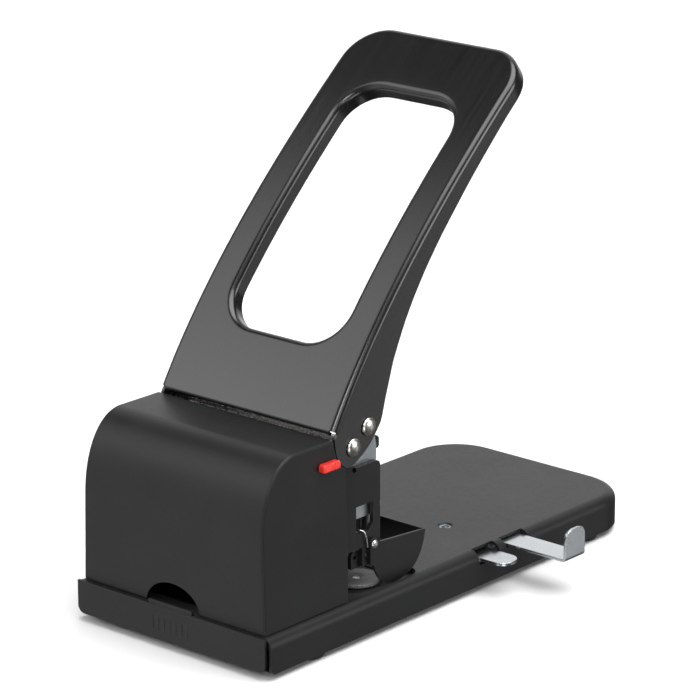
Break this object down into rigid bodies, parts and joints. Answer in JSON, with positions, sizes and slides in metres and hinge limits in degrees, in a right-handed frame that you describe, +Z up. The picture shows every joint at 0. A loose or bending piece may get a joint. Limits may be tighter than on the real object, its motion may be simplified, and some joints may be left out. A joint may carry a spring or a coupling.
{
  "type": "hole punch",
  "caption": "Heavy-duty hole punch with a tall looped lever handle, chip box with pull-out drawer, sliding crosshead with hollow punches, turnable cutting discs, paper clamp and side guide.",
  "frame": {"origin": "middle of the footprint box, on the surface that the rubber feet stand on", "axes": "+Z up; +Y from the chip drawer towards the paper bed; +X towards the side with the paper guide and the latch"},
  "size_m": [0.1728, 0.3054, 0.2792],
  "materials": {
    "black_powder": "satin black powder coat",
    "black_enamel": "semi-gloss black enamel",
    "zinc_plate": "bright zinc plate",
    "nickel": "polished nickel plate",
    "tool_steel": "ground steel",
    "chrome": "bright chrome",
    "red_plastic": "moulded red plastic",
    "grey_plastic": "matt moulded plastic",
    "rubber": "matt black rubber"
  },
  "bodies": {
    "frame": {"base_plate": "black_powder", "chip_box_cover": "black_powder", "chip_chute": "zinc_plate", "clamp_pin_left": "nickel", "clamp_pin_right": "nickel", "clamp_spring_left": "nickel", "clamp_spring_right": "nickel", "cover_screw_left": "zinc_plate", "cover_screw_right": "zinc_plate", "disc_screw_left": "zinc_plate", "disc_screw_right": "zinc_plate", "foot_front_left": "rubber", "foot_front_right": "rubber", "foot_rear_left": "rubber", "foot_rear_right": "rubber", "frame_plate_left": "black_powder", "frame_plate_right": "black_powder", "frame_screw_left_front": "zinc_plate", "frame_screw_left_rear": "zinc_plate", "frame_screw_right_front": "zinc_plate", "frame_screw_right_rear": "zinc_plate", "frame_tie_lower": "zinc_plate", "frame_tie_upper": "zinc_plate", "guide_channel": "zinc_plate", "guide_post_left": "tool_steel", "guide_post_right": "tool_steel", "guide_rivet_left": "black_powder", "guide_rivet_right": "black_powder", "lever_bracket": "zinc_plate", "lever_pin": "tool_steel", "pivot_spacer_left": "tool_steel", "pivot_spacer_right": "tool_steel", "punch_guide": "black_powder", "return_spring_left": "tool_steel", "return_spring_right": "tool_steel"},
    "lever": {"handle": "black_enamel", "pivot_shaft": "nickel", "drive_shaft": "nickel", "drive_spacer_right": "tool_steel", "drive_spacer_left": "tool_steel"},
    "press_head": {"crosshead": "zinc_plate", "punch_right": "tool_steel", "punch_left": "tool_steel", "punch_nut_right": "zinc_plate", "punch_nut_left": "zinc_plate", "crosshead_buffer_right": "rubber", "crosshead_buffer_left": "rubber"},
    "disc_r": {"cutting_disc_right": "grey_plastic"},
    "disc_l": {"cutting_disc_left": "grey_plastic"},
    "clamp_flap": {"paper_clamp": "black_powder"},
    "drawer": {"chip_drawer": "black_powder"},
    "latch": {"latch_knob": "red_plastic", "latch_slide": "tool_steel"},
    "guide": {"paper_guide": "chrome"},
    "lock_lever": {"guide_lock_lever": "chrome"}
  },
  "joints": [
    {"name": "handle_hinge", "type": "hinge", "parent": "frame", "child": "lever", "pos_m": [-0.01915, -0.07958, 0.1033], "axis": [-1, 0, 0], "range_deg": [0, 66], "stiffness_Nm_per_rad": 1, "springref_deg": -34.38},
    {"name": "crosshead_travel", "type": "slide", "parent": "frame", "child": "press_head", "axis": [0, 0, -1], "range_m": [0, 0.01546], "deforming": ["return_spring_right", "return_spring_left"]},
    {"name": "disc_turn_right", "type": "hinge", "parent": "frame", "child": "disc_r", "pos_m": [0.02145, -0.05448, 0.0209], "axis": [0, 0, 1], "continuous": true},
    {"name": "disc_turn_left", "type": "hinge", "parent": "frame", "child": "disc_l", "pos_m": [-0.05975, -0.05448, 0.0209], "axis": [0, 0, 1], "continuous": true},
    {"name": "clamp_hinge", "type": "hinge", "parent": "frame", "child": "clamp_flap", "pos_m": [-0.01915, -0.05937, 0.0453], "axis": [1, 0, 0], "range_deg": [0, 30], "stiffness_Nm_per_rad": 0.05, "springref_deg": -20.05},
    {"name": "drawer_slide", "type": "slide", "parent": "frame", "child": "drawer", "axis": [0, -1, 0], "range_m": [0, 0.05]},
    {"name": "latch_travel", "type": "slide", "parent": "frame", "child": "latch", "axis": [0, -1, 0], "range_m": [0, 0.005]},
    {"name": "guide_slide", "type": "slide", "parent": "frame", "child": "guide", "axis": [1, 0, 0], "range_m": [-0.034, 0.055]},
    {"name": "lock_lever_press", "type": "hinge", "parent": "frame", "child": "lock_lever", "pos_m": [0.03285, 0.02272, 0.0172], "axis": [0, 1, 0], "range_deg": [0, 5], "stiffness_Nm_per_rad": 0.05, "springref_deg": -8.59}
  ],
  "couplings": [
    {"joint": "crosshead_travel", "follows": "handle_hinge", "m_per_rad": 0.01341}
  ]
}
